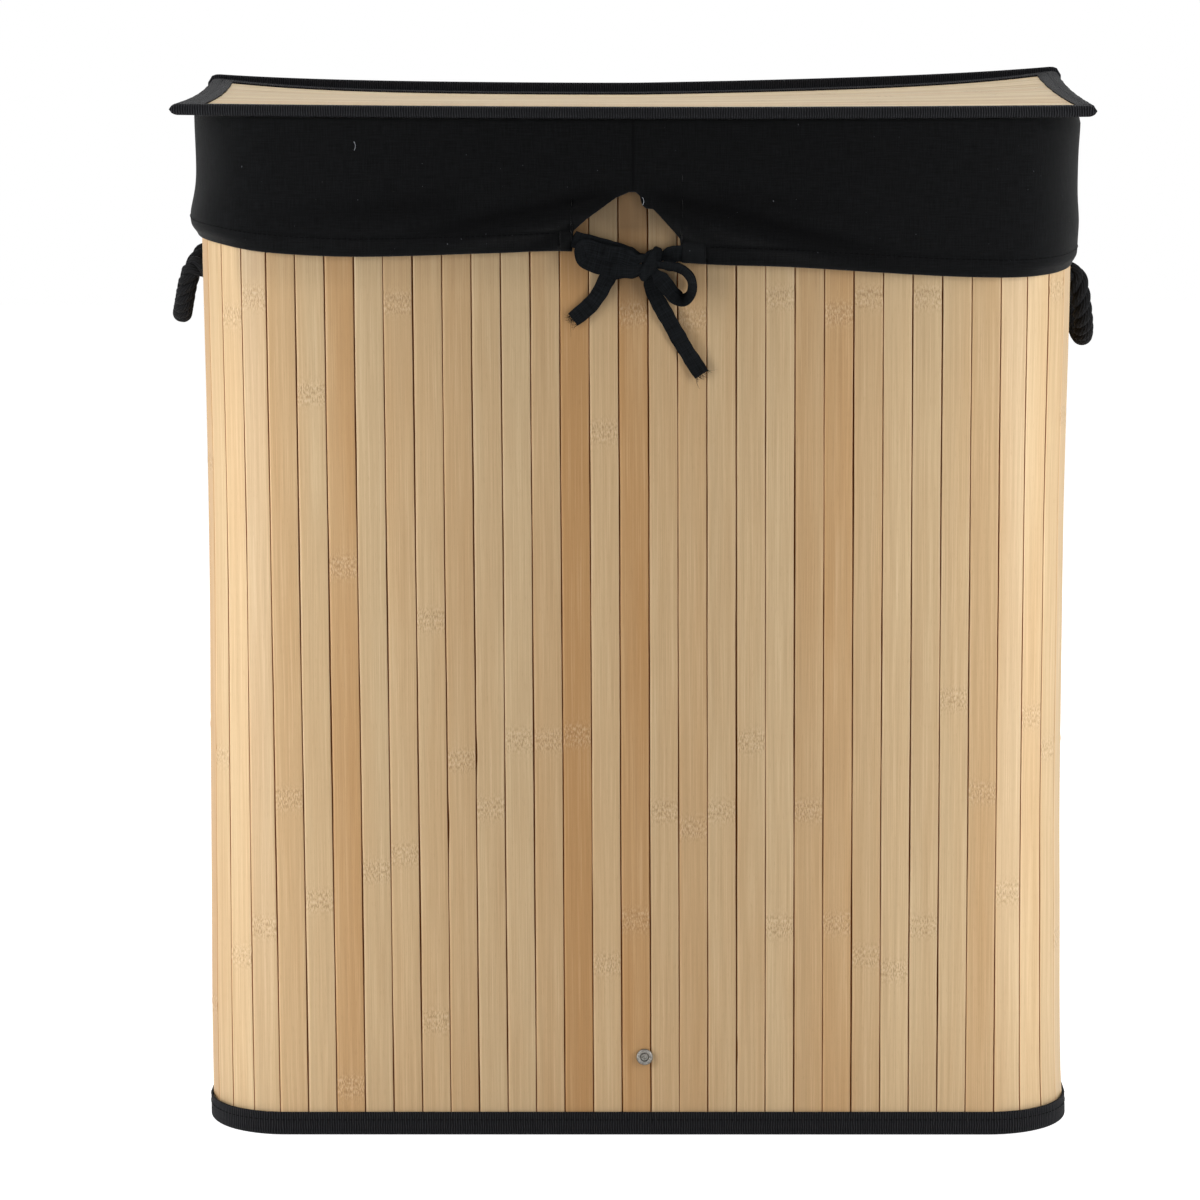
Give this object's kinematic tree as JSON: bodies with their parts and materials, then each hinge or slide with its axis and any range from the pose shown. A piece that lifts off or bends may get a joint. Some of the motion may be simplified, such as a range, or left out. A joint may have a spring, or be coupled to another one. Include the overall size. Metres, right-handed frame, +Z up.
{
  "type": "laundry hamper with two bins",
  "caption": "Upright hamper with rounded slatted walls, a turned-out cloth liner in two bags, rope handles and a slatted lid on a cloth hinge.",
  "frame": {"origin": "on the floor, under the middle of the hamper's outline", "axes": "+X to the hamper's right seen from the front, +Y towards the lid's hinge at the back, +Z up"},
  "size_m": [0.568, 0.3292, 0.6206],
  "materials": {
    "bamboo": "clear satin bamboo with fine upright grain",
    "binding_tape": "black ribbed binding tape",
    "cotton_cloth": "near-black plain weave cotton",
    "drawstring": "near-black flat cotton tape",
    "rope": "black three-strand twisted rope",
    "steel": "nickel-plated steel",
    "hardboard": "brown pressed hardboard"
  },
  "bodies": {
    "hamper": {"front_slat_wall": "bamboo", "back_slat_wall": "bamboo", "right_slat_wall": "bamboo", "left_slat_wall": "bamboo", "front_right_corner_slats": "bamboo", "back_right_corner_slats": "bamboo", "back_left_corner_slats": "bamboo", "front_left_corner_slats": "bamboo", "bottom_binding": "binding_tape", "rim_binding": "binding_tape", "base_cloth": "cotton_cloth", "base_board": "hardboard", "liner_cuff": "cotton_cloth", "left_bag_wall": "cotton_cloth", "left_bag_floor": "cotton_cloth", "left_bag_divider": "cotton_cloth", "right_bag_wall": "cotton_cloth", "right_bag_floor": "cotton_cloth", "right_bag_divider": "cotton_cloth", "brace_bar": "steel", "front_rivet": "steel", "back_rivet": "steel", "left_front_eyelet": "steel", "left_front_rope_knot": "rope", "left_back_eyelet": "steel", "left_back_rope_knot": "rope", "right_front_eyelet": "steel", "right_front_rope_knot": "rope", "right_back_eyelet": "steel", "right_back_rope_knot": "rope", "bow_knot": "drawstring", "left_tie_strand": "drawstring", "right_tie_strand": "drawstring", "left_bow_loop": "drawstring", "right_bow_loop": "drawstring", "left_tie_tail": "drawstring", "right_tie_tail": "drawstring", "body_hinge_leaf": "binding_tape"},
    "lid": {"lid_slat_panel": "bamboo", "lid_front_binding": "binding_tape", "lid_back_binding": "binding_tape", "lid_left_binding": "binding_tape", "lid_right_binding": "binding_tape", "lid_hinge_leaf": "binding_tape"},
    "left_handle": {"left_rope_handle": "rope"},
    "right_handle": {"right_rope_handle": "rope"}
  },
  "joints": [
    {"name": "lid_hinge", "type": "hinge", "parent": "hamper", "child": "lid", "pos_m": [0, 0.16318, 0.6206], "axis": [-1, 0, 0], "range_deg": [0, 265]},
    {"name": "left_handle_swing", "type": "hinge", "parent": "hamper", "child": "left_handle", "pos_m": [-0.26708, 0, 0.509], "axis": [0, 1, 0], "range_deg": [-25, 140]},
    {"name": "right_handle_swing", "type": "hinge", "parent": "hamper", "child": "right_handle", "pos_m": [0.26708, 0, 0.509], "axis": [0, -1, 0], "range_deg": [-11, 150]}
  ]
}
